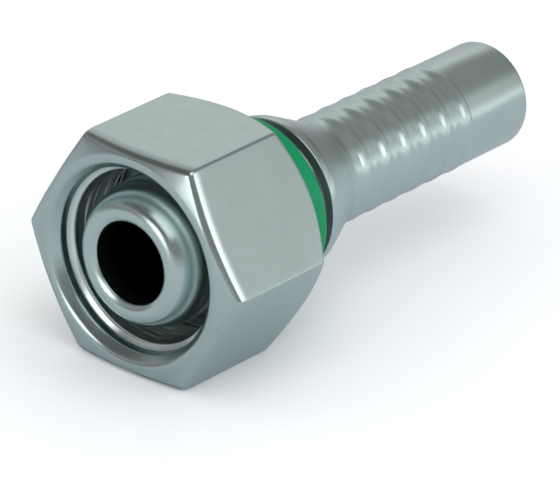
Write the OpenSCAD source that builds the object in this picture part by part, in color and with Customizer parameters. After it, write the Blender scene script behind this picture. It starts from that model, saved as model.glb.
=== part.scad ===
// Swivel-nut hose fitting, lying with one flat of its nut down.
// X runs along the flow bore from the nose to the tail, and Z is up.
// The origin is the centre of the nose face, where the bore opens.

/* [Flow bore] */
// Diameter of the bore that runs right through the nipple
bore_d = 9.8; // [8:0.1:11]
// Chamfer on both mouths of the bore
bore_chamfer = 0.25; // [0.1:0.05:0.5]

/* [Ball nose and neck] */
// Gap between the thread and the ball nose, which is as thick as the neck behind it
nose_gap = 2.4; // [2:0.1:3]
// How much of the ball the flat face of the nose cuts off
nose_cut = 3.27; // [2.5:0.01:4]

/* [Swivel nut] */
// Width of the nut across its flats
nut_af = 27; // [26.4:0.1:29]
// Length of the nut
nut_len = 17.6; // [16.5:0.1:21]
// How far the nut's front face lies behind the nose face
nut_setback = 0.2; // [0:0.1:1]
// How far the nut's six corners are turned back
nut_corner_break = 0.08; // [0.05:0.01:0.3]
// How far inside the flats the front chamfer starts
nut_front_inset = 0.9; // [0.4:0.05:1.3]
// How far inside the flats the rear chamfer starts
nut_rear_inset = 0.8; // [0.4:0.05:1.3]
// Angle of the front corner chamfer to the front face
nut_front_angle = 24; // [20:1:40]
// Angle of the rear corner chamfer to the rear face
nut_rear_angle = 44; // [30:1:52]

/* [Nut thread] */
// Thickness of the nut between its flats and the outside diameter of the screw thread
thread_wall = 2.5; // [2.2:0.1:3.4]
// Pitch of the screw thread
thread_pitch = 1.5; // [1:0.25:2]
// Depth from the nut's front face to the bottom of the threaded hole
thread_depth = 10.8; // [9:0.1:12]
// Width of the countersink at the nut's mouth, measured across one side
mouth_chamfer = 1.1; // [0.5:0.1:1.2]
// Width of the relief groove at the bottom of the thread
relief_w = 2; // [1:0.1:3]
// Depth of the relief groove below the thread's outside diameter
relief_depth = 0.2; // [0.1:0.1:0.5]

/* [Retaining wire] */
// Diameter of the wire that keeps the nut on the neck
wire_d = 2; // [1.6:0.1:2.4]
// Thickness of the nut's web behind the wire's centre line
wire_web = 3.3; // [2.6:0.1:4]
// Diameter of the hole that the wire is fed through
wire_hole_d = 2.3; // [2.2:0.1:3]
// Angle between the two ends of the wire, seen along the bore
wire_gap_angle = 14; // [8:1:40]

/* [Marker ring] */
// How far the green ring stands out from the neck
marker_wall = 2.05; // [1.6:0.05:2.9]
// Width of the green ring
marker_w = 4; // [2.8:0.1:5]
// Radius on the ring's outer edges
marker_edge_r = 0.35; // [0.1:0.05:0.5]
// How far the collar that the ring is pushed over stands out from the neck
collar_step = 0.9; // [0.6:0.1:1.1]
// Width of that collar
collar_w = 1.7; // [1:0.1:2.4]

/* [Ferrule groove and shoulder] */
// Width of the groove that the hose ferrule is crimped into
groove_w = 2.4; // [1.6:0.1:4]
// Depth of that groove below the collar
groove_depth = 1.3; // [0.8:0.1:2.5]
// How far the shoulder behind the groove stands out from the groove's bottom
shoulder_step = 1.2; // [0.8:0.1:1.5]
// Length of the shoulder at its largest diameter
shoulder_land = 1.2; // [0.2:0.1:1.5]
// Angle between the shoulder's taper and the bore
shoulder_angle = 25; // [18:0.5:35]
// Radius that blends the taper into the hose tail
shoulder_blend = 5; // [2:0.5:8]

/* [Hose tail] */
// Length from the front of the shoulder to the end of the tail
tail_len = 39.9; // [37:0.1:60]
// Diameter of the plain length at the end of the tail
tail_d = 12.9; // [12.6:0.1:13.6]
// Radius on the outer edge of the tail's end
tail_end_r = 0.6; // [0.2:0.1:1]
// Number of barbs
barb_count = 6; // [4:1:7]
// Distance from one barb to the next
barb_pitch = 3.7; // [3:0.1:4.2]
// Diameter over the barbs
barb_d = 13.1; // [12.9:0.1:13.8]
// Diameter between the barbs
root_d = 12.7; // [12.2:0.1:12.8]
// Length of the blunt top of a barb
barb_land = 0.3; // [0.1:0.1:0.8]
// Length of the steep face of a barb, on the side towards the nut
barb_rise = 0.35; // [0.1:0.05:0.6]
// Plain length between the shoulder's taper and the first barb
barb_start = 2.1; // [0.5:0.1:4]

/* [Clearances] */
// Running gap between the neck and the nut, on each side
neck_clear = 0.08; // [0.04:0.01:0.1]
// Gap round the retaining wire in its two grooves
wire_clear = 0.05; // [0.03:0.01:0.1]
// Gap between the rear of the nut and the green ring
marker_gap = 0.3; // [0.2:0.1:1]
// Gap between the green ring and the steel that it is pushed over
marker_fit = 0.05; // [0.02:0.01:0.1]

/* [Hidden] */
$fn = 96;

// Radii
bore_r = bore_d / 2;
thread_r = nut_af / 2 - thread_wall;
neck_r = thread_r - nose_gap;
nut_bore_r = neck_r + neck_clear;
// An internal metric thread is cut to five eighths of the height of a sharp one
thread_minor_r = thread_r - 5 / 8 * sqrt(3) / 2 * thread_pitch;
collar_r = neck_r + collar_step;
groove_r = collar_r - groove_depth;
shoulder_r = groove_r + shoulder_step;
root_r = root_d / 2;
barb_r = barb_d / 2;
tail_r = tail_d / 2;
marker_r = neck_r + marker_wall;
wire_r = wire_d / 2;
wire_groove_r = wire_r + wire_clear;
wire_ring_r = neck_r + neck_clear / 2;

// Places along X, from the nose to the tail
ball_x = neck_r - nose_cut;
nut_front_x = nut_setback;
nut_rear_x = nut_front_x + nut_len;
thread_end_x = nut_front_x + thread_depth;
wire_x = nut_rear_x - wire_web;
marker_front_x = nut_rear_x + marker_gap;
marker_rear_x = marker_front_x + marker_w;
collar_front_x = marker_rear_x - collar_w;
shoulder_x = marker_rear_x + groove_w;
taper_x = shoulder_x + shoulder_land;
taper_end_x = taper_x + (shoulder_r - root_r) / tan(shoulder_angle);
first_barb_x = taper_end_x + barb_start + barb_rise;
last_barb_x = first_barb_x + (barb_count - 1) * barb_pitch;
tail_end_x = shoulder_x + tail_len;

// The nut's hexagon: its sharp corners, and the circle that they are turned back to
nut_point_r = nut_af / sqrt(3);
nut_corner_r = nut_point_r - nut_corner_break;

// Direction of the hole for the wire, square to one flat of the nut
wire_hole_angle = 120;

// Small breaks on edges that no other size sets
edge_break = 0.2;

// How far a cutting shape runs past the face it opens
over = 1;

// Sections are drawn with the radius along x and the distance from the nose along y
module turned(angle = 360) {
    rotate([0, 90, 0]) rotate_extrude(angle = angle) children();
}

// A rectangle of a section from radius r0 to r1 and from x0 to x1 along the bore
module land(r0, r1, x0, x1) {
    translate([r0, x0]) square([r1 - r0, x1 - x0]);
}

// The same rectangle with its two outer corners rounded
module rounded_land(r0, r1, x0, x1, corner) {
    land(r0, r1 - corner, x0, x1);
    land(r0, r1, x0 + corner, x1 - corner);
    for (x = [x0 + corner, x1 - corner]) translate([r1 - corner, x]) circle(corner);
}

// Nose

module ball_nose_section() {
    intersection() {
        translate([0, ball_x]) circle(neck_r);
        land(0, neck_r, 0, ball_x);
    }
}

module neck_section() {
    difference() {
        land(0, neck_r, ball_x, marker_rear_x);
        translate([wire_ring_r, wire_x]) circle(wire_groove_r);
    }
}

// Collar, ferrule groove and shoulder

module shoulder_section() {
    land(0, collar_r, collar_front_x, marker_rear_x);
    land(0, groove_r, marker_rear_x - over, shoulder_x + edge_break);
    polygon([
        [0, shoulder_x], [shoulder_r - edge_break, shoulder_x], [shoulder_r, shoulder_x + edge_break],
        [shoulder_r, taper_x], [root_r, taper_end_x], [0, taper_end_x]
    ]);
}

// The hollow blend between the taper and the tail, a corner filled up to a circle
module shoulder_blend_section() {
    tangent = shoulder_blend * tan(shoulder_angle / 2);
    difference() {
        polygon([
            [root_r - over, taper_end_x - tangent],
            [root_r + tangent * sin(shoulder_angle), taper_end_x - tangent * cos(shoulder_angle)],
            [root_r, taper_end_x + tangent], [root_r - over, taper_end_x + tangent]
        ]);
        translate([root_r + shoulder_blend, taper_end_x + tangent]) circle(shoulder_blend);
    }
}

// Hose tail

// One barb: a steep face towards the nut, a blunt top, and a ramp that the hose slides up
module barb_section() {
    polygon([
        [root_r - over, -barb_rise], [root_r, -barb_rise], [barb_r, 0], [barb_r, barb_land],
        [root_r, barb_pitch - barb_rise], [root_r - over, barb_pitch - barb_rise]
    ]);
}

module tail_section() {
    land(0, root_r, taper_end_x - over, last_barb_x);
    for (i = [0 : barb_count - 1]) translate([0, first_barb_x + i * barb_pitch]) barb_section();
    rounded_land(0, tail_r, last_barb_x - tail_end_r, tail_end_x, tail_end_r);
}

// What the bore and its two chamfered mouths take away
module bore_section() {
    polygon([
        [0, -over], [bore_r + bore_chamfer + over, -over], [bore_r, bore_chamfer],
        [bore_r, tail_end_x - bore_chamfer], [bore_r + bore_chamfer + over, tail_end_x + over],
        [0, tail_end_x + over]
    ]);
}

module hose_nipple() {
    color("lightslategray") turned() difference() {
        union() {
            ball_nose_section();
            neck_section();
            shoulder_section();
            shoulder_blend_section();
            tail_section();
        }
        bore_section();
    }
}

// Nut

// What the hexagon is turned to: a cone at each end, and a cylinder that breaks the six corners
module nut_envelope_section() {
    front_r = nut_af / 2 - nut_front_inset;
    rear_r = nut_af / 2 - nut_rear_inset;
    polygon([
        [0, nut_front_x], [front_r, nut_front_x],
        [nut_corner_r, nut_front_x + (nut_corner_r - front_r) * tan(nut_front_angle)],
        [nut_corner_r, nut_rear_x - (nut_corner_r - rear_r) * tan(nut_rear_angle)],
        [rear_r, nut_rear_x], [0, nut_rear_x]
    ]);
}

// What the countersunk threaded hole, its relief, the bore and the wire groove take away
module nut_hole_section() {
    mouth_r = thread_minor_r + mouth_chamfer;
    polygon([
        [0, nut_front_x - over], [mouth_r + over, nut_front_x - over],
        [thread_minor_r, nut_front_x + mouth_chamfer], [thread_minor_r, thread_end_x],
        [nut_bore_r, thread_end_x], [nut_bore_r, nut_rear_x - edge_break],
        [nut_bore_r + edge_break + over, nut_rear_x + over], [0, nut_rear_x + over]
    ]);
    land(0, thread_r + relief_depth, thread_end_x - relief_w, thread_end_x);
    translate([wire_ring_r, wire_x]) circle(wire_groove_r);
}

// The hole through one flat that the wire is fed in by
module wire_hole() {
    translate([wire_x, 0, 0]) rotate([wire_hole_angle - 180, 0, 0]) translate([0, 0, wire_ring_r])
        cylinder(d = wire_hole_d, h = nut_point_r);
}

module swivel_nut() {
    color("silver") difference() {
        intersection() {
            turned() nut_envelope_section();
            rotate([0, 90, 0]) rotate([0, 0, 30]) cylinder(r = nut_point_r, h = nut_rear_x + over, $fn = 6);
        }
        turned() nut_hole_section();
        wire_hole();
    }
}

module marker_ring() {
    color("mediumseagreen") turned() difference() {
        rounded_land(neck_r, marker_r, marker_front_x, marker_rear_x, marker_edge_r);
        land(0, neck_r + marker_fit, marker_front_x - over, marker_rear_x);
        land(0, collar_r + marker_fit, collar_front_x - marker_fit, marker_rear_x + over);
    }
}

module retaining_wire() {
    color("gray") rotate([wire_hole_angle + wire_gap_angle / 2, 0, 0])
        turned(360 - wire_gap_angle) translate([wire_ring_r, wire_x]) circle(wire_r);
}

hose_nipple();
swivel_nut();
marker_ring();
retaining_wire();
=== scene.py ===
# %% [markdown]
# # A hydraulic hose fitting in plated steel
# This is the steel end of a hydraulic hose. The long tail with its six barbs is pushed into the rubber hose, a
# ferrule is crimped round it, and the six-sided nut at the front screws onto a machine. The ball on the nose then
# seals in a cone of the mating fitting.
#
# The loaded frame holds the measured solids. Each piece below is a finer version of one of them, made in metres in
# the same place, with X along the bore from the nose to the tail and Z up. Sizes are written in millimetres,
# because fittings are drawn in millimetres, and `MM` turns them into metres.

# %% Load the frame
import math

import bmesh
import bpy
from mathutils import Matrix, Vector


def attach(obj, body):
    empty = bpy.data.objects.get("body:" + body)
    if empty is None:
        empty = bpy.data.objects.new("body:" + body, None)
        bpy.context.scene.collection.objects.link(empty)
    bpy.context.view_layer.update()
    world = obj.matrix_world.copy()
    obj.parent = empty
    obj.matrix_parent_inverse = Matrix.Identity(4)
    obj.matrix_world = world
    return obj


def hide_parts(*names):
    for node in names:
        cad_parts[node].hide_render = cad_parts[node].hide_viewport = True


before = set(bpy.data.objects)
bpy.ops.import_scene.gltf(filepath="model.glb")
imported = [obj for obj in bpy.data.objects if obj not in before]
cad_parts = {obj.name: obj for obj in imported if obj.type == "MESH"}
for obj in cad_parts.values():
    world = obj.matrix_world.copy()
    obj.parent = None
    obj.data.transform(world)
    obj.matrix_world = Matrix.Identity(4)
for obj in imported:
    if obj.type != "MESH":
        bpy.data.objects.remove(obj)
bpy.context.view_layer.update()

MM = 0.001

# %% [markdown]
# ## The camera
# The picture was taken from in front of the nut, a little to its left and from above, with a long lens, so that the
# near and far ends are almost the same size. The camera was found by fitting the nut's corners and the round edges
# of the ring and tail, and it is written as a maker would set up a tripod: where it points, from which side, from
# how high, from how far and with how much tilt.

# %% Camera
LOOK_AT = Vector((0.023529, -0.002662, -0.005786))
FROM_SIDE = math.radians(-51.247)
FROM_ABOVE = math.radians(25.929)
DISTANCE = 0.65456
TILT = math.radians(2.355)
FOCAL_LENGTH, SENSOR_WIDTH = 370.31, 36

back = Vector((
    math.sin(FROM_SIDE) * math.cos(FROM_ABOVE),
    -math.cos(FROM_SIDE) * math.cos(FROM_ABOVE),
    math.sin(FROM_ABOVE),
))
lens = bpy.data.cameras.new("camera")
lens.lens = FOCAL_LENGTH
lens.sensor_width = SENSOR_WIDTH
lens.clip_start = 0.01
camera = bpy.data.objects.new("camera", lens)
bpy.context.scene.collection.objects.link(camera)
facing = (-back).to_track_quat("-Z", "Y").to_matrix().to_4x4()
camera.matrix_world = Matrix.Translation(LOOK_AT + back * DISTANCE) @ facing @ Matrix.Rotation(TILT, 4, "Z")
bpy.context.scene.camera = camera
bpy.context.scene.view_settings.view_transform = "Standard"
print("camera at", [round(v, 3) for v in camera.location])

# %% [markdown]
# ## Helpers for node trees
# Both the shapes and the finishes are node trees. A tree is easier to read as text when each node takes one line,
# so `add` makes a node and fills its inputs, with a value or with another node's output, and `sums` does the same
# for a Math node.

# %% Node helpers
def feed(tree, socket, value):
    """Sets an input to a value, or links another node's output to it."""
    if isinstance(value, bpy.types.NodeSocket):
        tree.links.new(value, socket)
    else:
        socket.default_value = value


def add(tree, kind, inputs=None, **settings):
    """Makes one node; inputs are named by their label or their number."""
    made = tree.nodes.new(kind)
    for name, value in settings.items():
        setattr(made, name, value)
    for name, value in (inputs or {}).items():
        feed(tree, made.inputs[name], value)
    return made


def sums(tree, operation, *values):
    """One Math node, as its output."""
    return add(tree, "ShaderNodeMath", dict(enumerate(values)), operation=operation).outputs[0]


def pick(tree, index, values):
    """The value of a short table at a whole number, as one Index Switch node."""
    made = add(tree, "GeometryNodeIndexSwitch", data_type="FLOAT")
    while len(made.index_switch_items) < len(values):
        made.index_switch_items.new()
    feed(tree, made.inputs["Index"], index)
    for i, value in enumerate(values):
        made.inputs[i + 1].default_value = value
    return made.outputs[0]


def new_tree(name, inputs):
    """A Geometry Nodes tree with a geometry input, the named inputs and a geometry output."""
    tree = bpy.data.node_groups.new(name, "GeometryNodeTree")
    tree.interface.new_socket("Geometry", in_out="INPUT", socket_type="NodeSocketGeometry")
    for label, kind in inputs.items():
        tree.interface.new_socket(label, in_out="INPUT", socket_type="NodeSocket" + kind)
    tree.interface.new_socket("Geometry", in_out="OUTPUT", socket_type="NodeSocketGeometry")
    return tree, add(tree, "NodeGroupInput").outputs


def grown(obj, tree, values):
    """Runs a tree on an object with the given inputs and keeps the result as a plain mesh."""
    modifier = obj.modifiers.new(tree.name, "NODES")
    modifier.node_group = tree
    for item in tree.interface.items_tree:
        if item.in_out == "INPUT" and item.name in values:
            modifier[item.identifier] = values[item.name]
    return settled(obj)


def settled(obj):
    """Applies an object's modifiers by keeping the evaluated result as its mesh."""
    shown = obj.evaluated_get(bpy.context.evaluated_depsgraph_get())
    mesh = bpy.data.meshes.new_from_object(shown)
    obj.modifiers.clear()
    obj.data = mesh
    return obj


# %% [markdown]
# ## Sections
# A lathe works from a section: the line that the tool follows from one end of the bar to the other. Here a section
# is a list of corners, each with its place along the bore, its radius and how much its edge is rounded. No edge on
# a real turned part is perfectly sharp, and the rounded edges are what catch the light, so `softened` puts a short
# arc at each corner. Where a radius is too large for the stretch beside it, the arc takes only `LARGEST_CUT` of it.

# %% Section helpers
LARGEST_CUT = 0.8


def softened(corners, closed=False, steps=5):
    """Points along a section, with a short arc at each corner that has a radius."""
    points = []
    for i, (x, r, radius) in enumerate(corners):
        here = Vector((x, r))
        inner = closed or 0 < i < len(corners) - 1
        if not radius or not inner:
            points.append((x, r))
            continue
        before = Vector(corners[i - 1][:2]) - here
        after = Vector(corners[(i + 1) % len(corners)][:2]) - here
        half = before.angle(after) / 2
        cut = min(radius / math.tan(half), LARGEST_CUT * before.length, LARGEST_CUT * after.length)
        middle = here + (before.normalized() + after.normalized()).normalized() * cut / math.cos(half)
        spoke = here + before.normalized() * cut - middle
        sweep = spoke.angle_signed(here + after.normalized() * cut - middle)
        for step in range(steps + 1):
            turned = spoke.copy()
            turned.rotate(Matrix.Rotation(-sweep * step / steps, 2))
            points.append(tuple(middle + turned))
    return points


def arc(x, r, radius, start, end, steps):
    """Corners on a circle of a section; 0 degrees points along the bore and 90 outwards."""
    angles = (math.radians(start + (end - start) * i / steps) for i in range(steps + 1))
    return [(x + radius * math.cos(a), r + radius * math.sin(a), 0) for a in angles]


COLUMNS = 192


def ring_of(x, r):
    """One circle of points round the bore, starting at +Y."""
    for column in range(COLUMNS):
        turn = 2 * math.pi * column / COLUMNS
        yield Vector((x, r * math.cos(turn), r * math.sin(turn))) * MM


def skin(bm, rings, closed):
    """Joins neighbouring rings with faces; a closed skin also joins the last ring to the first."""
    rows = [[bm.verts.new(point) for point in ring] for ring in rings]
    if closed:
        rows.append(rows[0])
    for row, following in zip(rows, rows[1:]):
        for i in range(len(row)):
            j = (i + 1) % len(row)
            bm.faces.new((row[i], row[j], following[j], following[i]))


def piece(name, fill):
    """A new object at the origin, whose mesh the function fill makes."""
    bm = bmesh.new()
    fill(bm)
    mesh = bpy.data.meshes.new(name)
    bm.to_mesh(mesh)
    bm.free()
    obj = bpy.data.objects.new(name, mesh)
    bpy.context.scene.collection.objects.link(obj)
    return obj


MERGE_DISTANCE, SLIVER = 0.0005 * MM, 0.0002 * MM
SHARP_ANGLE = math.radians(60)


def finished(obj, material):
    """Merges doubles, turns the faces outwards, shades smoothly and gives the finish."""
    bm = bmesh.new()
    bm.from_mesh(obj.data)
    bmesh.ops.remove_doubles(bm, verts=bm.verts, dist=MERGE_DISTANCE)
    bmesh.ops.dissolve_degenerate(bm, edges=bm.edges, dist=SLIVER)
    bmesh.ops.recalc_face_normals(bm, faces=bm.faces)
    open_edges = sum(1 for edge in bm.edges if len(edge.link_faces) != 2)
    for face in bm.faces:
        face.smooth = True
    bm.to_mesh(obj.data)
    volume = bm.calc_volume(signed=True) / MM ** 3
    bm.free()
    obj.data.set_sharp_from_angle(angle=SHARP_ANGLE)
    obj.data.materials.clear()
    obj.data.materials.append(material)
    print(obj.name, len(obj.data.polygons), "faces,", open_edges, "open edges,", round(volume, 1), "mm3")
    return obj


# %% [markdown]
# ## The finishes
# The steel is zinc plated. Zinc is a satin metal: it mirrors its surroundings softly, a little bluer or greener
# than bare steel, with faint clouds where the plating is thicker. Under it are the marks of the lathe, rings a few
# hundredths of a millimetre apart. The rings follow the distance along the bore plus the radius, which gives
# circles on the faces and rings on the round parts in one pattern. The flats of the nut were never turned, so
# there the rings give way to a fine grain; the surface's own direction in the object tells the two apart.
#
# Three places differ from the rest and are told apart by where they lie. The flow bore is darkened inwards from its
# mouth as painted shade, and the groove for the ferrule is darkened as painted shade. Light is painted into the
# thread and the other inner faces of the nut, which are the brightest.

# %% Plated steel
# Painted shade for the flow bore and the ferrule groove, and painted light for the inner faces of the nut.
PAINTED_BORE_SHADE, PAINTED_GROOVE_SHADE, PAINTED_THREAD_LIGHT = (0.03, 0.03, 0.03, 1), (0.3, 0.33, 0.33, 1), (0.88, 0.93, 0.92, 1)
SHADED_BORE_R, BORE_LIT_X, BORE_DARK_X = 4.96, 0.5, 4
THREAD_DEPTH = 0.6
MARKS_PER_METRE = 9000
ROUGH_SPREAD = 0.02


def plated_steel(name, colour, rough, rings, grain, thread_r=0, groove=(0, 0)):
    """Zinc plated steel; rings and grain are the strengths of its two kinds of fine relief. Shade is painted into
    the flow bore and the span given as groove, and light onto the faces inside thread_r.
    """
    material = bpy.data.materials.new(name)
    material.use_nodes = True
    tree = material.node_tree
    shader = tree.nodes["Principled BSDF"]
    shader.inputs["Metallic"].default_value = 1
    place = add(tree, "ShaderNodeTexCoord").outputs
    along = add(tree, "ShaderNodeSeparateXYZ", {0: place["Object"]}).outputs
    facing_x = sums(tree, "ABSOLUTE", add(tree, "ShaderNodeSeparateXYZ", {0: place["Normal"]}).outputs[0])

    clouds = add(tree, "ShaderNodeTexNoise", {"Vector": place["Object"], "Scale": 160, "Detail": 3})
    darker = tuple(0.95 * c for c in colour)
    lighter = tuple(1.04 * c for c in colour)
    shade = add(tree, "ShaderNodeMix", {0: clouds.outputs["Fac"]}, data_type="RGBA")
    feed(tree, shade.inputs[6], (*darker, 1))
    feed(tree, shade.inputs[7], (*lighter, 1))
    radius = sums(tree, "SQRT", sums(tree, "ADD", sums(tree, "MULTIPLY", along[1], along[1]),
                                     sums(tree, "MULTIPLY", along[2], along[2])))
    # Painted shade: the flow bore darkens from near its mouth inwards.
    deep = add(tree, "ShaderNodeMapRange", {0: along[0], 1: BORE_LIT_X * MM, 2: BORE_DARK_X * MM})
    in_bore = sums(tree, "MULTIPLY", sums(tree, "LESS_THAN", radius, SHADED_BORE_R * MM), deep.outputs[0])
    bore_shaded = add(tree, "ShaderNodeMix", {0: in_bore}, data_type="RGBA")
    feed(tree, bore_shaded.inputs[6], shade.outputs[2])
    feed(tree, bore_shaded.inputs[7], PAINTED_BORE_SHADE)
    # Painted shade: the ferrule groove between the green ring and the shoulder is made darker.
    in_groove = sums(tree, "MULTIPLY", sums(tree, "GREATER_THAN", along[0], groove[0] * MM),
                     sums(tree, "LESS_THAN", along[0], groove[1] * MM))
    groove_shaded = add(tree, "ShaderNodeMix", {0: in_groove}, data_type="RGBA")
    feed(tree, groove_shaded.inputs[6], bore_shaded.outputs[2])
    feed(tree, groove_shaded.inputs[7], PAINTED_GROOVE_SHADE)
    # Painted light: the thread and the other inner faces of the nut are made brighter.
    in_thread = add(tree, "ShaderNodeMapRange", {0: radius, 1: thread_r * MM, 2: (thread_r - THREAD_DEPTH) * MM})
    thread_lit = add(tree, "ShaderNodeMix", {0: in_thread.outputs[0]}, data_type="RGBA")
    feed(tree, thread_lit.inputs[6], groove_shaded.outputs[2])
    feed(tree, thread_lit.inputs[7], PAINTED_THREAD_LIGHT)
    feed(tree, shader.inputs["Base Color"], thread_lit.outputs[2])

    smear = add(tree, "ShaderNodeTexNoise", {"Vector": place["Object"], "Scale": 700, "Detail": 4})
    roughness = add(tree, "ShaderNodeMapRange", {
        0: smear.outputs["Fac"], 1: 0.3, 2: 0.7, 3: rough - ROUGH_SPREAD, 4: rough + ROUGH_SPREAD,
    })
    feed(tree, shader.inputs["Roughness"], roughness.outputs[0])

    path = sums(tree, "MULTIPLY", sums(tree, "ADD", along[0], radius), MARKS_PER_METRE)
    marks = add(tree, "ShaderNodeTexNoise", {"W": path, "Scale": 1, "Detail": 2}, noise_dimensions="1D")
    pits = add(tree, "ShaderNodeTexNoise", {"Vector": place["Object"], "Scale": 4200, "Detail": 2})
    turned = add(tree, "ShaderNodeMapRange", {0: facing_x, 1: 0.02, 2: 0.2, 3: rings[0], 4: rings[1]})
    relief = sums(tree, "ADD", sums(tree, "MULTIPLY", marks.outputs["Fac"], turned.outputs[0]),
                  sums(tree, "MULTIPLY", pits.outputs["Fac"], grain))
    bump = add(tree, "ShaderNodeBump", {"Height": relief, "Distance": 0.01 * MM, "Strength": 1})
    feed(tree, shader.inputs["Normal"], bump.outputs[0])
    return material


# The nipple gets painted shade in its ferrule groove and bore; the nut gets painted light on its inner faces.
NIPPLE_STEEL = plated_steel(
    "nipple_steel", (0.565, 0.685, 0.665), 0.25, rings=(0.25, 0.15), grain=0.02, groove=(22.05, 24.46),
)
NUT_STEEL = plated_steel("nut_steel", (0.52, 0.625, 0.61), 0.23, rings=(0.0, 0.15), grain=0.04, thread_r=10.9)
print("steel finishes:", NIPPLE_STEEL.name, NUT_STEEL.name)

# %% [markdown]
# The ring behind the nut is green plastic, pushed on to mark the fitting. Moulded plastic has a fine even skin with
# a soft gloss, a trace of colour variation where the pigment is uneven, and a little light that gets in under its
# surface.

# %% Green plastic
def green_plastic():
    material = bpy.data.materials.new("green_plastic")
    material.use_nodes = True
    tree = material.node_tree
    shader = tree.nodes["Principled BSDF"]
    place = add(tree, "ShaderNodeTexCoord").outputs["Object"]
    pigment = add(tree, "ShaderNodeTexNoise", {"Vector": place, "Scale": 300, "Detail": 2})
    shade = add(tree, "ShaderNodeMix", {0: pigment.outputs["Fac"]}, data_type="RGBA")
    feed(tree, shade.inputs[6], (0.003, 0.44, 0.17, 1))
    feed(tree, shade.inputs[7], (0.006, 0.52, 0.20, 1))
    feed(tree, shader.inputs["Base Color"], shade.outputs[2])
    skin_grain = add(tree, "ShaderNodeTexNoise", {"Vector": place, "Scale": 3500, "Detail": 3})
    gloss = add(tree, "ShaderNodeMapRange", {0: skin_grain.outputs["Fac"], 1: 0.3, 2: 0.7, 3: 0.36, 4: 0.46})
    feed(tree, shader.inputs["Roughness"], gloss.outputs[0])
    bump = add(tree, "ShaderNodeBump", {"Height": skin_grain.outputs["Fac"], "Distance": 0.01 * MM, "Strength": 0.3})
    feed(tree, shader.inputs["Normal"], bump.outputs[0])
    shader.inputs["Specular IOR Level"].default_value = 0.3
    shader.inputs["Subsurface Weight"].default_value = 0.15
    shader.inputs["Subsurface Radius"].default_value = (0.3, 1.0, 0.4)
    shader.inputs["Subsurface Scale"].default_value = 0.4 * MM
    return material


GREEN = green_plastic()
print("plastic finish:", GREEN.name)

# %% [markdown]
# The retaining wire is spring steel, drawn through a die. Drawing leaves fine streaks along the wire, and the wire
# is darker than the plated parts because it only carries a film of oil.

# %% Spring wire
STREAKS_PER_METRE = 6000


def spring_wire():
    material = bpy.data.materials.new("wire_steel")
    material.use_nodes = True
    tree = material.node_tree
    shader = tree.nodes["Principled BSDF"]
    shader.inputs["Metallic"].default_value = 1
    place = add(tree, "ShaderNodeTexCoord").outputs["Object"]
    along = add(tree, "ShaderNodeSeparateXYZ", {0: place}).outputs
    across = sums(tree, "MULTIPLY", along[0], STREAKS_PER_METRE)
    streaks = add(tree, "ShaderNodeTexNoise", {"W": across, "Scale": 1, "Detail": 3}, noise_dimensions="1D")
    shade = add(tree, "ShaderNodeMix", {0: streaks.outputs["Fac"]}, data_type="RGBA")
    feed(tree, shade.inputs[6], (0.30, 0.31, 0.32, 1))
    feed(tree, shade.inputs[7], (0.48, 0.50, 0.50, 1))
    feed(tree, shader.inputs["Base Color"], shade.outputs[2])
    rough = add(tree, "ShaderNodeMapRange", {0: streaks.outputs["Fac"], 1: 0.3, 2: 0.7, 3: 0.22, 4: 0.34})
    feed(tree, shader.inputs["Roughness"], rough.outputs[0])
    bump = add(tree, "ShaderNodeBump", {"Height": streaks.outputs["Fac"], "Distance": 0.01 * MM, "Strength": 0.4})
    feed(tree, shader.inputs["Normal"], bump.outputs[0])
    return material


WIRE = spring_wire()
print("wire finish:", WIRE.name)

# %% [markdown]
# ## The nipple
# The nipple is one turned piece: the ball nose, the neck that the nut turns on, the collar under the green ring,
# the groove for the ferrule, the tapered shoulder and the hose tail. It could be spun from one section by the Spin
# tool. Here the plain stretches are skinned from their sections, and the barbs are left out, because they repeat
# and a node tree can make them. The two sections meet inside the bore, at `MEET_X`. The face of the nose is
# slightly crowned, so that its edges catch the light.

# %% Sizes of the nipple
BORE_R, NECK_R, BALL_X = 4.9, 8.6, 5.33
FACE_IN_R, FACE_OUT_R, CROWN_X, CROWN_R = 5.55, 6.35, 0.336, 7.0
NOSE_LEAD_X, TAIL_CHAMFER, MEET_X = 0.4, 0.3, 34
WIRE_X, WIRE_RING_R, WIRE_GROOVE_R = 14.5, 8.64, 1.05
COLLAR_X, COLLAR_R = 20.4, 9.5
GROOVE_X, GROOVE_R = 22.1, 8.2
SHOULDER_X, SHOULDER_R, TAPER_X, TAPER_END_X = 24.5, 9.4, 25.7, 32.241
ROOT_R, BARB_R, TAIL_R, TAIL_END_X = 6.385, 6.55, 6.45, 64.4
FIRST_BARB_X, BARB_PITCH, BARBS = 34.691, 3.7, 6
FIRST_FOOT, FIRST_TOP, LAST_TOP, LAST_FOOT, TAIL_ROW = 0.9, 0.05, 0.35, 0.7, 4
LAST_BARB_X = FIRST_BARB_X + (BARBS - 1) * BARB_PITCH
print("barbs from", FIRST_BARB_X, "to", round(LAST_BARB_X, 2), "mm")

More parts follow.
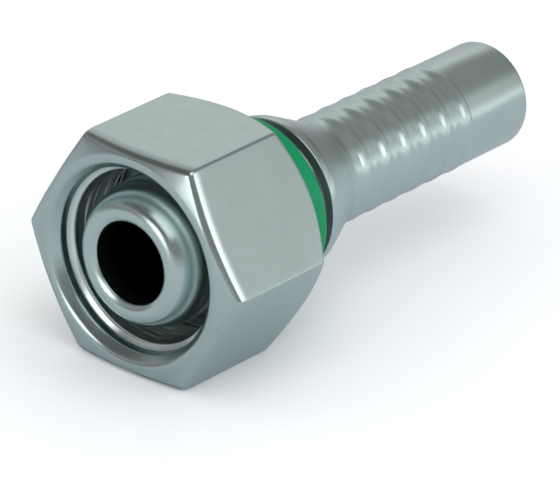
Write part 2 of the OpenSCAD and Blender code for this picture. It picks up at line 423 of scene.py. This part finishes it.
# %% Skin of the nipple without its barbs
nose_start = 90 + math.degrees(math.asin(BALL_X / NECK_R))
front_section = softened(
    [
        (MEET_X, BORE_R, 0), (NOSE_LEAD_X, BORE_R, 0.35), (0, FACE_IN_R, 1.2), (0, FACE_OUT_R, 1.4),
        (CROWN_X, CROWN_R, 1.4),
    ]
    + arc(BALL_X, 0, NECK_R, nose_start - 7, 90, 18)
    + [(WIRE_X - WIRE_GROOVE_R, NECK_R, 0)]
    + arc(WIRE_X, WIRE_RING_R, WIRE_GROOVE_R, 182.2, 357.8, 14)
    + [
        (COLLAR_X, NECK_R, 0.1), (COLLAR_X, COLLAR_R, 0.1), (GROOVE_X, COLLAR_R, 0.12),
        (GROOVE_X, GROOVE_R, 0.25), (SHOULDER_X, GROOVE_R, 0.25), (SHOULDER_X, SHOULDER_R, 0.15),
        (TAPER_X, SHOULDER_R, 3.5), (TAPER_END_X, ROOT_R, 5), (FIRST_BARB_X - FIRST_FOOT, ROOT_R, 2),
        (FIRST_BARB_X - FIRST_TOP, BARB_R, 0), (FIRST_BARB_X, BARB_R, 0),
    ]
)
rear_section = softened([
    (LAST_BARB_X, BARB_R, 0), (LAST_BARB_X + LAST_TOP, BARB_R, 0.3), (LAST_BARB_X + LAST_FOOT, TAIL_R, 0.5),
    (LAST_BARB_X + TAIL_ROW, TAIL_R, 0), (TAIL_END_X, TAIL_R, 0.6), (TAIL_END_X, BORE_R + TAIL_CHAMFER, 0.12),
    (TAIL_END_X - TAIL_CHAMFER, BORE_R, 0.12), (MEET_X, BORE_R, 0),
])


def nipple_skin(bm):
    skin(bm, [ring_of(x, r) for x, r in front_section], closed=False)
    skin(bm, [ring_of(x, r) for x, r in rear_section], closed=False)


nipple = piece("nipple", nipple_skin)
print("nipple without barbs:", len(front_section), "and", len(rear_section), "rings")

# %% [markdown]
# ## The barbs
# A barb rises on a short slope on the side towards the nut, has a blunt top and falls towards the tail's end in a
# long ramp with a low swell in it, so the hose slides on easily and the barb bites when the hose is pulled. The
# stretch from the top of one barb to the top of the next is always the same, so one such stretch is made from a
# grid: its points are numbered, the number gives the place in the section and the turn round the bore, and the
# grid is bent into a tube. The tube is then repeated along a line of points, one for each gap between barbs. The
# pieces meet edge to edge and are merged into one skin.

# %% Tree for the barbs
def barb_tree():
    tree, given = new_tree("barbs", {
        "First barb": "Float", "Barb pitch": "Float", "Barbs": "Int", "Barb radius": "Float",
        "Root radius": "Float", "Columns": "Int", "Finish": "Material",
    })
    # Each point of one stretch as a share of the pitch, and its height as a share of the barb
    along = (0, 0.04, 0.09, 0.16, 0.22, 0.29, 0.35, 0.41, 0.48, 0.57, 0.66, 0.71, 0.77, 0.84, 0.91, 0.96, 1)
    height = (1, 1.0, 0.90, 0.66, 0.48, 0.44, 0.52, 0.50, 0.34, 0.14, 0.01, 0.03, 0.18, 0.46, 0.76, 0.93, 1)
    rows = sums(tree, "ADD", given["Columns"], 1)
    grid = add(tree, "GeometryNodeMeshGrid", {"Vertices X": len(along), "Vertices Y": rows})
    number = add(tree, "GeometryNodeInputIndex").outputs[0]
    station = sums(tree, "FLOOR", sums(tree, "DIVIDE", number, rows))
    turn = sums(tree, "DIVIDE", sums(tree, "SUBTRACT", number, sums(tree, "MULTIPLY", station, rows)),
                given["Columns"])
    x = sums(tree, "MULTIPLY", pick(tree, station, along), given["Barb pitch"])
    rise = sums(tree, "SUBTRACT", given["Barb radius"], given["Root radius"])
    r = sums(tree, "MULTIPLY_ADD", pick(tree, station, height), rise, given["Root radius"])
    tube = add(tree, "GeometryNodeSetPosition",
               {"Geometry": grid.outputs["Mesh"], "Position": round_the_bore(tree, x, r, turn)})
    gaps = sums(tree, "SUBTRACT", given["Barbs"], 1)
    line = add(tree, "GeometryNodeMeshLine", {
        "Count": gaps,
        "Start Location": add(tree, "ShaderNodeCombineXYZ", {0: given["First barb"]}).outputs[0],
        "Offset": add(tree, "ShaderNodeCombineXYZ", {0: given["Barb pitch"]}).outputs[0],
    })
    copies = add(tree, "GeometryNodeInstanceOnPoints", {"Points": line.outputs[0], "Instance": tube.outputs[0]})
    real = add(tree, "GeometryNodeRealizeInstances", {0: copies.outputs[0]})
    close_tree(tree, given, real.outputs[0])
    return tree


def round_the_bore(tree, x, r, turn):
    """A point at x along the bore, at radius r and after a share of a full turn from +Y."""
    angle = sums(tree, "MULTIPLY", turn, 2 * math.pi)
    y = sums(tree, "MULTIPLY", r, sums(tree, "COSINE", angle))
    z = sums(tree, "MULTIPLY", r, sums(tree, "SINE", angle))
    return add(tree, "ShaderNodeCombineXYZ", {0: x, 1: y, 2: z}).outputs[0]


def close_tree(tree, given, grown_part):
    """Joins what a tree made to the mesh that it was given, merges the seams and sets the finish."""
    join = add(tree, "GeometryNodeJoinGeometry")
    tree.links.new(grown_part, join.inputs[0])
    tree.links.new(given["Geometry"], join.inputs[0])
    merged = add(tree, "GeometryNodeMergeByDistance", {"Geometry": join.outputs[0], "Distance": MERGE_DISTANCE})
    real = add(tree, "GeometryNodeRealizeInstances", {0: merged.outputs[0]})
    coated = add(tree, "GeometryNodeSetMaterial", {"Geometry": real.outputs[0], "Material": given["Finish"]})
    add(tree, "NodeGroupOutput", {0: coated.outputs[0]})


grown(nipple, barb_tree(), {
    "First barb": FIRST_BARB_X * MM, "Barb pitch": BARB_PITCH * MM, "Barbs": BARBS,
    "Barb radius": BARB_R * MM, "Root radius": ROOT_R * MM, "Columns": COLUMNS, "Finish": NIPPLE_STEEL,
})
finished(nipple, NIPPLE_STEEL)

# %% [markdown]
# ## The nut
# The nut starts as a hexagon bar with soft edges. Turning adds a cone at each end, which cuts a curved line into
# every flat, and bores the hole from both ends. The skin is built in columns round the bore, as on a lathe, but the
# outer radius of each column is that of the hexagon there. The cone then meets each column at its own height, and
# the curved line appears by itself. Columns stand closer together on the six rounded edges.
#
# The mouth is turned in three steps: a cone, a short plain hole, and a narrow cone where the thread begins, whose
# rounded rim catches the light. The front edge rolls over into the flats in two short slopes.

# %% Hexagon
FLAT_R = 13.5
EDGE_R = 0.53
SIXTH = COLUMNS // 6
EDGE_COLUMNS = 5


def hexagon(column):
    """Turn and radius of one column of the hexagon; column 0 is the middle of the edge at +Y."""
    step = (column + SIXTH // 2) % SIXTH - SIXTH // 2
    side = math.copysign(1, step)
    corner = (FLAT_R - EDGE_R) / math.cos(math.radians(30))
    if abs(step) <= EDGE_COLUMNS:
        lean = math.radians(30) * abs(step) / EDGE_COLUMNS
        point = Vector((corner + EDGE_R * math.cos(lean), EDGE_R * math.sin(lean)))
        turn = math.atan2(point.y, point.x)
    else:
        share = (SIXTH / 2 - abs(step)) / (SIXTH / 2 - EDGE_COLUMNS)
        point = Vector((FLAT_R, (FLAT_R - EDGE_R) * math.tan(math.radians(30)) * share))
        turn = math.radians(30) - math.atan2(point.y, point.x)
    sector = math.radians(60) * round((column - step) / SIXTH)
    return sector + side * turn, point.length


print("hexagon edge at", round(hexagon(0)[1], 3), "mm, flat at", round(hexagon(SIXTH // 2)[1], 3), "mm")

# %% Sizes and skin of the nut
FRONT_X, REAR_X = 0.05, 17.8
FRONT_RING_R, REAR_RING_R = 12.7, 12.7
FRONT_SLOPE, REAR_SLOPE = math.tan(math.radians(19)), math.tan(math.radians(40))
THREAD_R, CREST_R, PITCH = 11.0, 10.188, 1.5
ROLL_R, ROLL_X, ROLL_MIDDLE_R, ROLL_END_X = 0.5, 0.38, 0.14, 1.5
FLAT_FRONT_X, FLAT_REAR_X = 8, 12
MOUTH_R, MOUTH_X, RIM_X, RIM_R, RIM_TAPER, THREAD_X = 11.9, 1.2, 2.2, 10.95, 0.45, 3.9
RELIEF_X, RELIEF_R, THREAD_END_X, NUT_BORE_R, REAR_CHAMFER = 9.0, 11.2, 11.0, 8.68, 0.2


def nut_section(outer):
    """The section of one column, from inside the mouth round the outside to the end of the thread."""
    turned_x = FRONT_X + (outer - ROLL_R - FRONT_RING_R) * FRONT_SLOPE
    rear_x = REAR_X - (outer - REAR_RING_R) * REAR_SLOPE
    return softened(
        [
            (THREAD_X, CREST_R, 0), (RIM_X + RIM_TAPER, CREST_R, 0.5), (RIM_X, RIM_R, 0.2),
            (MOUTH_X, RIM_R, 0.5), (FRONT_X, MOUTH_R, 1.1), (FRONT_X, FRONT_RING_R, 1.5),
            (turned_x, outer - ROLL_R, 1.5), (turned_x + ROLL_X, outer - ROLL_MIDDLE_R, 1.6),
            (turned_x + ROLL_END_X, outer, 6), (FLAT_FRONT_X, outer, 0), (FLAT_REAR_X, outer, 0),
            (rear_x, outer, 0.8), (REAR_X, REAR_RING_R, 0.3), (REAR_X, NUT_BORE_R + REAR_CHAMFER, 0.08),
            (REAR_X - REAR_CHAMFER, NUT_BORE_R, 0.08),
        ]
        + arc(WIRE_X, WIRE_RING_R, WIRE_GROOVE_R, -2, 2, 1)[1:]
        + arc(WIRE_X, WIRE_RING_R, WIRE_GROOVE_R, 14, 166, 12)
        + arc(WIRE_X, WIRE_RING_R, WIRE_GROOVE_R, 178, 182, 1)[:1]
        + [(THREAD_END_X, NUT_BORE_R, 0.08), (THREAD_END_X, RELIEF_R, 0.25), (RELIEF_X, RELIEF_R, 0)]
    )


def nut_skin(bm):
    columns = []
    for column in range(COLUMNS):
        turn, outer = hexagon(column)
        plain = 2 * math.pi * column / COLUMNS
        points = []
        for x, r in nut_section(outer):
            share = min(max((r - RELIEF_R) / (FRONT_RING_R - RELIEF_R), 0), 1)
            angle = plain + share * ((turn - plain + math.pi) % (2 * math.pi) - math.pi)
            points.append(Vector((x, r * math.cos(angle), r * math.sin(angle))) * MM)
        columns.append(points)
    skin(bm, zip(*columns), closed=False)


nut = piece("nut", nut_skin)
print("nut skin:", len(nut.data.polygons), "faces")

# %% [markdown]
# ## The thread
# The nut has a metric thread, 22 mm across with a pitch of 1.5 mm. It could be cut with a coiled cutter and a
# boolean, which is slow and leaves ragged faces. Instead a grid is wound into a coil: each point is moved along the
# bore by its place in the thread's profile and by its share of the turn, so the rows of the grid run along the
# crests and the flanks. Rows that would run out of the nut are held back at either end, where they merge to
# nothing, and the groove gets deeper over its first turns, as it does where the tool is fed in.

# %% Tree for the thread
RUN_IN_TURNS, SPARE_TURNS = 2.5, 1.2


def thread_tree():
    tree, given = new_tree("thread", {
        "Pitch": "Float", "Crest radius": "Float", "Root radius": "Float", "Front": "Float", "Rear": "Float",
        "Relief radius": "Float", "Columns": "Int", "Finish": "Material",
    })
    # The rows of one turn, as shares of the pitch measured from the middle of a crest
    profile = (-0.155, -0.11, 0.11, 0.155, 0.405, 0.455, 0.545, 0.595)
    crest_end, root_start = profile[2], profile[5]
    rows = sums(tree, "ADD", given["Columns"], 1)
    length = sums(tree, "SUBTRACT", given["Rear"], given["Front"])
    turns = sums(tree, "CEIL", sums(tree, "ADD", sums(tree, "DIVIDE", length, given["Pitch"]), SPARE_TURNS))
    last = sums(tree, "MULTIPLY", turns, len(profile))
    grid = add(tree, "GeometryNodeMeshGrid",
               {"Vertices X": sums(tree, "ADD", last, 1), "Vertices Y": rows})
    number = add(tree, "GeometryNodeInputIndex").outputs[0]
    station = sums(tree, "FLOOR", sums(tree, "DIVIDE", number, rows))
    turn = sums(tree, "DIVIDE", sums(tree, "SUBTRACT", number, sums(tree, "MULTIPLY", station, rows)),
                given["Columns"])
    whole = sums(tree, "FLOOR", sums(tree, "DIVIDE", station, len(profile)))
    row = sums(tree, "SUBTRACT", station, sums(tree, "MULTIPLY", whole, len(profile)))
    wound = sums(tree, "ADD", sums(tree, "ADD", whole, pick(tree, row, profile)), turn)
    start = sums(tree, "SUBTRACT", given["Front"], given["Pitch"])
    free_x = sums(tree, "MULTIPLY_ADD", wound, given["Pitch"], start)
    x = sums(tree, "MINIMUM", sums(tree, "MAXIMUM", free_x, given["Front"]), given["Rear"])
    phase = sums(tree, "SUBTRACT", sums(tree, "DIVIDE", sums(tree, "SUBTRACT", x, start), given["Pitch"]), turn)
    from_crest = sums(tree, "ABSOLUTE", sums(tree, "SUBTRACT", phase, sums(tree, "ROUND", phase)))
    flank = add(tree, "ShaderNodeMapRange", {
        0: from_crest, 1: crest_end, 2: root_start, 3: given["Crest radius"], 4: given["Root radius"],
    }, interpolation_type="SMOOTHSTEP")
    full = sums(tree, "MULTIPLY_ADD", given["Pitch"], RUN_IN_TURNS, given["Front"])
    run_in = add(tree, "ShaderNodeMapRange", {0: x, 1: given["Front"], 2: full}, interpolation_type="SMOOTHSTEP")
    cut = add(tree, "ShaderNodeMix", {0: run_in.outputs[0], 2: given["Crest radius"], 3: flank.outputs[0]})
    is_last = sums(tree, "GREATER_THAN", station, sums(tree, "SUBTRACT", last, 0.5))
    r = add(tree, "ShaderNodeMix", {0: is_last, 2: cut.outputs[0], 3: given["Relief radius"]}).outputs[0]
    coil = add(tree, "GeometryNodeSetPosition",
               {"Geometry": grid.outputs["Mesh"], "Position": round_the_bore(tree, x, r, turn)})
    close_tree(tree, given, coil.outputs[0])
    return tree


grown(nut, thread_tree(), {
    "Pitch": PITCH * MM, "Crest radius": CREST_R * MM, "Root radius": THREAD_R * MM,
    "Front": THREAD_X * MM, "Rear": RELIEF_X * MM, "Relief radius": RELIEF_R * MM, "Columns": COLUMNS,
    "Finish": NUT_STEEL,
})
finished(nut, NUT_STEEL)

# %% [markdown]
# The hole for the wire is drilled last, square to the flat that faces up and away from the camera. A drill leaves a
# round edge of its own, so this one is cut with a boolean.

# %% Hole for the wire
DRILL_R, DRILL_LENGTH, DRILL_TURN = 1.15, 8, math.radians(-60)
drill = piece("drill", lambda bm: bmesh.ops.create_cone(
    bm, cap_ends=True, segments=48, radius1=DRILL_R * MM, radius2=DRILL_R * MM, depth=DRILL_LENGTH * MM,
    matrix=Matrix.Rotation(DRILL_TURN, 4, "X") @ Matrix.Translation((WIRE_X * MM, 0, 0))
    @ Matrix.Translation((0, 0, (WIRE_RING_R + DRILL_LENGTH / 2) * MM)),
))
cut = nut.modifiers.new("wire hole", "BOOLEAN")
cut.object = drill
cut.solver = "EXACT"
settled(nut)
bpy.data.objects.remove(drill)
finished(nut, NUT_STEEL)

# %% [markdown]
# ## The green ring
# The ring is a short tube with rounded outer edges and a step inside, where it is pushed over the nipple's collar.

# %% Ring
RING_FRONT_X, RING_REAR_X, RING_R, RING_FIT = 18.1, 22.1, 10.65, 0.05
ring_section = softened([
    (RING_FRONT_X, NECK_R + RING_FIT, 0.1), (RING_FRONT_X, RING_R, 0.4), (RING_REAR_X, RING_R, 0.5),
    (RING_REAR_X, COLLAR_R + RING_FIT, 0.1), (COLLAR_X - RING_FIT, COLLAR_R + RING_FIT, 0.05),
    (COLLAR_X - RING_FIT, NECK_R + RING_FIT, 0.05),
], closed=True)
ring = piece("green_ring", lambda bm: skin(bm, [ring_of(x, r) for x, r in ring_section], closed=True))
finished(ring, GREEN)

# %% [markdown]
# ## Bodies and stand-ins
# The nut turns on the neck with its wire, and the ring stays on the nipple. Each finer piece rides on the same body
# as the solid that it stands for. The wire's solid is already the right shape, so it only gets its finish.

# %% Ride and replace
for obj, body, node, slot in (
    (nipple, "insert", "hose_nipple", "nipple_steel"),
    (ring, "insert", "marker_ring", "green_plastic"),
    (nut, "nut", "swivel_nut", "nut_steel"),
):
    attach(obj, body)
    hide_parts(node)
wire_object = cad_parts["retaining_wire"]
for material_slot in wire_object.material_slots:
    material_slot.material = WIRE
print("pieces:", nipple.name, ring.name, nut.name, wire_object.name)

# %% [markdown]
# ## The stage
# The picture was taken on a white sweep, with a large soft light overhead. The floor is a plain white plane that
# takes a soft shadow. Part of its white is its own glow, seen only by the camera and in reflections, so that the
# floor stays white without more light on the metal. The glow fades where the part shuts out the sky, which keeps
# the shadow soft and dark close to the part.

# %% Floor
FLOOR_Z, FLOOR_HALF = -13.5 * MM, 1.5
GLOW_IN_METAL, SKY_REACH = 0.33, 60 * MM
GLOW_THAT_FADES, GLOW_THAT_STAYS = 0.9, 0.1


def floor_material():
    material = bpy.data.materials.new("floor")
    material.use_nodes = True
    tree = material.node_tree
    tree.nodes.clear()
    ray = add(tree, "ShaderNodeLightPath").outputs
    mirrored = sums(tree, "MAXIMUM", ray["Is Glossy Ray"], ray["Is Transmission Ray"])
    seen = sums(tree, "MAXIMUM", ray["Is Camera Ray"], sums(tree, "MULTIPLY", mirrored, GLOW_IN_METAL))
    matt = add(tree, "ShaderNodeBsdfDiffuse", {"Color": (0.72, 0.785, 0.87, 1)})
    open_sky = add(tree, "ShaderNodeAmbientOcclusion", {"Distance": SKY_REACH}, samples=16).outputs["AO"]
    faded = sums(tree, "MULTIPLY_ADD", open_sky, GLOW_THAT_FADES, GLOW_THAT_STAYS)
    glow = add(tree, "ShaderNodeEmission", {
        "Color": (0.705, 0.69, 0.67, 1), "Strength": sums(tree, "MULTIPLY", seen, faded),
    })
    both = add(tree, "ShaderNodeAddShader", {0: matt.outputs[0], 1: glow.outputs[0]})
    add(tree, "ShaderNodeOutputMaterial", {"Surface": both.outputs[0]})
    return material


def floor_skin(bm):
    corners = ((-1, -1), (1, -1), (1, 1), (-1, 1))
    bm.faces.new([bm.verts.new((x * FLOOR_HALF, y * FLOOR_HALF, FLOOR_Z)) for x, y in corners])


floor = piece("floor", floor_skin)
floor.data.materials.append(floor_material())
print("floor at", FLOOR_Z / MM, "mm")

# %% [markdown]
# Metal shows what stands round it, so the surroundings matter more than the lamps. They are a bright horizon behind
# the part, dimmer straight behind it, a darker ceiling, a low bright band at the right, a faint one at the left and
# a dim side behind the camera. The world draws them by direction. To the camera itself the world is plain white.

# %% World
def surroundings():
    world = bpy.data.worlds.new("surroundings")
    bpy.context.scene.world = world
    world.use_nodes = True
    tree = world.node_tree
    tree.nodes.clear()
    toward = add(tree, "ShaderNodeSeparateXYZ", {0: add(tree, "ShaderNodeTexCoord").outputs["Generated"]}).outputs

    def between(value, start, end, low=0, high=1):
        """Runs smoothly from low to high while the value goes from start to end."""
        return add(tree, "ShaderNodeMapRange", {0: value, 1: start, 2: end, 3: low, 4: high},
                   interpolation_type="SMOOTHSTEP").outputs[0]

    sideways = sums(tree, "MULTIPLY", toward[1], toward[1])
    height = sums(tree, "ADD", toward[2], sums(tree, "MAXIMUM", sums(tree, "SUBTRACT", 0.25, sideways), 0))
    dome = between(height, 0.68, 0.42, 0.31, 0.60)
    behind = sums(tree, "MULTIPLY", between(toward[0], 0.1, 0.65, 0.45, 1), between(toward[0], 0.8, 0.95, 1, 0.45))
    band = sums(tree, "MULTIPLY", between(toward[2], 0.24, 0.08), between(toward[1], 0.3, -0.45, 0, 0.56))
    halfway_up = sums(tree, "MULTIPLY", between(toward[2], 0.8, 0.5), between(toward[2], 0.2, 0.4))
    left = sums(tree, "MULTIPLY", halfway_up, between(toward[1], 0.25, 0.55, 0, 0.2))
    bright = sums(tree, "MULTIPLY", sums(tree, "ADD", sums(tree, "ADD", dome, band), left), behind)
    ray = add(tree, "ShaderNodeLightPath").outputs
    level = add(tree, "ShaderNodeMix", {0: ray["Is Camera Ray"], 2: bright, 3: 1.0})
    glow = add(tree, "ShaderNodeBackground", {"Color": (1, 1, 1, 1), "Strength": level.outputs[0]})
    add(tree, "ShaderNodeOutputWorld", {"Surface": glow.outputs[0]})


surroundings()
print("world:", bpy.context.scene.world.name)

# %% [markdown]
# Three lamps are enough: a soft box overhead, which gives the shadow and the highlight on the ball, a narrow one
# low at the right, which draws the white line on the front edge of the nut's right flat and the bright line along
# the tail, and a window in front, which draws the crescents in the mouth and on the nose.

# %% Lamps
def soft_box(name, place, aim, width, height, power):
    """A rectangular area lamp that points at a spot."""
    light = bpy.data.lights.new(name, "AREA")
    light.shape = "RECTANGLE"
    light.size, light.size_y = width, height
    light.energy = power
    lamp = bpy.data.objects.new(name, light)
    lamp.location = place
    lamp.rotation_euler = (Vector(aim) - Vector(place)).to_track_quat("-Z", "Y").to_euler()
    bpy.context.scene.collection.objects.link(lamp)
    return lamp


soft_box("overhead", (-0.03, -0.20, 0.44), (0.01, 0, 0), 0.40, 0.42, 0.62)
soft_box("right_strip", (0.20, -0.43, 0.19), (0.01, 0, 0), 0.13, 0.20, 0.18)
soft_box("front_window", (-0.48, 0.02, 0.14), (0, 0, 0), 0.24, 0.26, 0.40)
print("lamps: overhead, right_strip, front_window")
